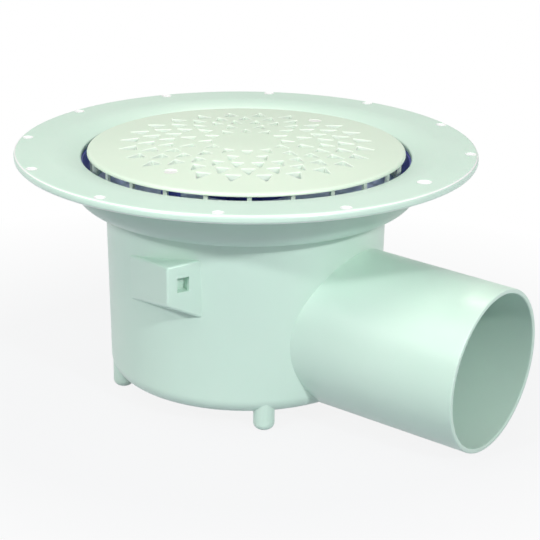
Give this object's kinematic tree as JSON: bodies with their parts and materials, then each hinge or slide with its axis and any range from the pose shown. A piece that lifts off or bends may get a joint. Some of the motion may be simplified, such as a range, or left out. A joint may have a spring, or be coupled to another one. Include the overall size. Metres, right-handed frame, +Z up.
{
  "type": "floor drain",
  "caption": "Round flanged plastic floor drain with a side outlet, a domed grate with triangular holes and a lift-out water trap.",
  "frame": {"origin": "on the drain's axis, in the plane of the flange's top face", "axes": "+Z up along the drain's axis, +X towards the outlet in plan, +Y to the left of the outlet"},
  "size_m": [0.3587, 0.315, 0.1748],
  "materials": {
    "body_plastic": "satin moulded, pale mint white",
    "grate_plastic": "satin moulded, pale mint white",
    "screw_steel": "bright stainless",
    "trap_plastic": "satin moulded, blue",
    "seal_rubber": "matt black"
  },
  "bodies": {
    "root": {"drain_body": "body_plastic", "grate": "grate_plastic", "grate_screw_1": "screw_steel", "grate_screw_2": "screw_steel", "trap_insert": "trap_plastic", "trap_seal": "seal_rubber", "trap_cup": "trap_plastic"}
  },
  "joints": []
}
